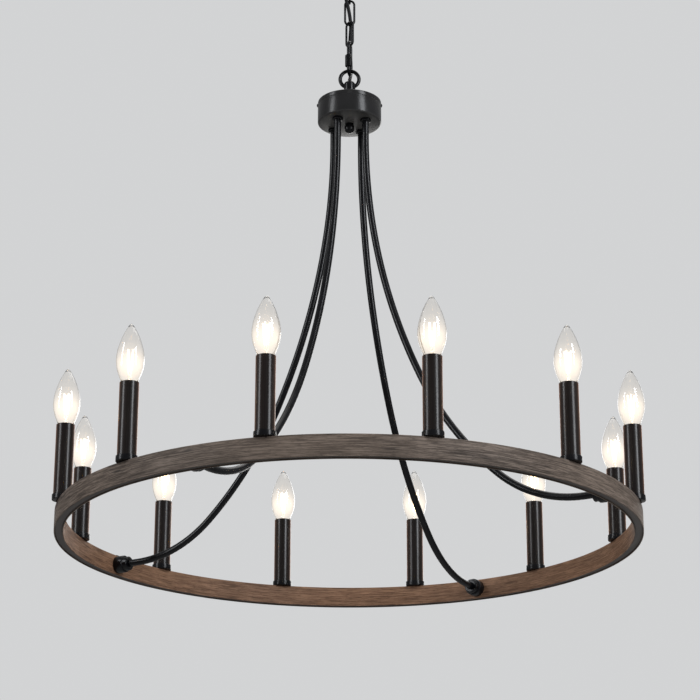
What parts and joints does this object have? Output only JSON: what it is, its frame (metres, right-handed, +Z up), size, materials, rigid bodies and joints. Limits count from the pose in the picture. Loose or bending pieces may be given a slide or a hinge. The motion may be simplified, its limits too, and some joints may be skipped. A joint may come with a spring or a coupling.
{
  "type": "wagon wheel chandelier",
  "caption": "Wheel-shaped chandelier with candle lights on a wood-look rim, hung by bent arms from a round hub on a chain, with a ceiling canopy.",
  "frame": {"origin": "on the ceiling in the middle of the outlet box, at the top face of the crossbar", "axes": "+Z up, -Y towards the picture's viewer, +X to the right"},
  "size_m": [0.7899, 0.79, 0.927],
  "materials": {
    "black_metal": "satin black paint",
    "zinc_steel": "zinc plated steel",
    "green_screw": "green ground screw",
    "weathered_wood": "weathered grey-brown wood grain",
    "rim_underside": "dark brown paint",
    "sleeve_metal": "satin dark bronze-black",
    "socket_plastic": "black phenolic",
    "bulb_glass": "clear glass",
    "cord_sheath": "black cord sheath"
  },
  "bodies": {
    "ceiling_mount": {"canopy": "black_metal", "crossbar": "zinc_steel", "ground_screw": "green_screw", "canopy_nipple": "zinc_steel", "crossbar_nut": "zinc_steel", "canopy_nut": "black_metal", "canopy_loop": "black_metal", "power_cord": "cord_sheath"},
    "chain_link_1": {"chain_link_1": "black_metal"},
    "chain_link_2": {"chain_link_2": "black_metal"},
    "chain_link_3": {"chain_link_3": "black_metal"},
    "quick_link": {"quick_link": "black_metal"},
    "quick_link_nut": {"quick_link_nut": "black_metal"},
    "chandelier": {"arm_back_left": "black_metal", "arm_back_right": "black_metal", "arm_bushes": "black_metal", "arm_front_left": "black_metal", "arm_front_right": "black_metal", "arm_nuts_lower": "black_metal", "arm_nuts_upper": "zinc_steel", "bulbs": "bulb_glass", "candle_sleeves": "sleeve_metal", "hub_body": "black_metal", "hub_finial": "black_metal", "hub_inner_nut": "zinc_steel", "hub_lid": "black_metal", "hub_lock_nut": "black_metal", "hub_loop": "black_metal", "hub_side_screws": "black_metal", "hub_stem": "zinc_steel", "light_cups": "black_metal", "rim_channel": "weathered_wood", "rim_cover": "rim_underside", "sockets": "socket_plastic", "splice_strap": "black_metal"}
  },
  "joints": [
    {"name": "link_1_swing", "type": "hinge", "parent": "ceiling_mount", "child": "chain_link_1", "pos_m": [0, 0, -0.0764], "axis": [1, 0, 0], "range_deg": [-30, 30], "deforming": ["power_cord"]},
    {"name": "link_2_swing", "type": "hinge", "parent": "chain_link_1", "child": "chain_link_2", "pos_m": [0, 0, -0.1114], "axis": [0, 1, 0], "range_deg": [-30, 30], "deforming": ["power_cord"]},
    {"name": "link_3_swing", "type": "hinge", "parent": "chain_link_2", "child": "chain_link_3", "pos_m": [0, 0, -0.1475], "axis": [1, 0, 0], "range_deg": [-12, 12], "deforming": ["power_cord"]},
    {"name": "quick_link_swing", "type": "hinge", "parent": "chain_link_3", "child": "quick_link", "pos_m": [0, 0, -0.1821], "axis": [-0.7071, 0.7071, 0], "range_deg": [-15, 15], "deforming": ["power_cord"]},
    {"name": "chandelier_swing", "type": "hinge", "parent": "quick_link", "child": "chandelier", "pos_m": [0, 0, -0.2279], "axis": [0.2079, 0.9781, 0], "range_deg": [-30, 30], "deforming": ["power_cord"]},
    {"name": "quick_link_nut_slide", "type": "slide", "parent": "quick_link", "child": "quick_link_nut", "axis": [0, 0, 1], "range_m": [0, 0.0125]}
  ]
}
